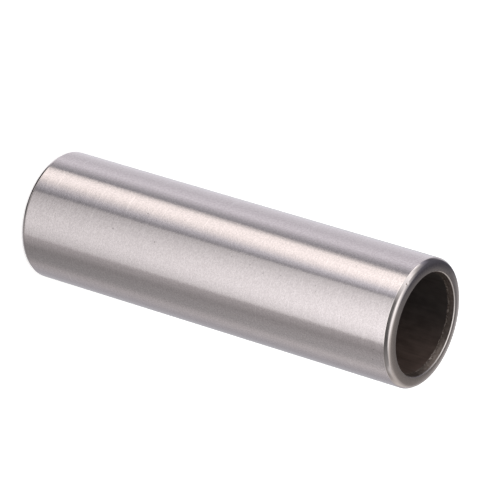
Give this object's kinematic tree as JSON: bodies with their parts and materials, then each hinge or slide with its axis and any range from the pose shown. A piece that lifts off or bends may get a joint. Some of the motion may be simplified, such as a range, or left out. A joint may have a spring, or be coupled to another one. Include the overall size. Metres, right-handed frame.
{
  "type": "gudgeon pin",
  "caption": "Hollow steel gudgeon pin: a ground tube with rounded lead-in edges, crowned ends and coned bore mouths, which links a piston to the small end of a connecting rod.",
  "frame": {"origin": "centre of the lower end, on the pin's axis, in the plane of the land that it stands on", "axes": "+Z along the pin's axis, from the end that it stands on to the other end; X and Y are any pair across the axis, because the pin is round"},
  "size_m": [0.022, 0.022, 0.074],
  "materials": {
    "steel": "ground outside in satin grey, turned and crowned ends, dark drawn bore"
  },
  "bodies": {
    "root": {"gudgeon_pin": "steel"}
  },
  "joints": []
}
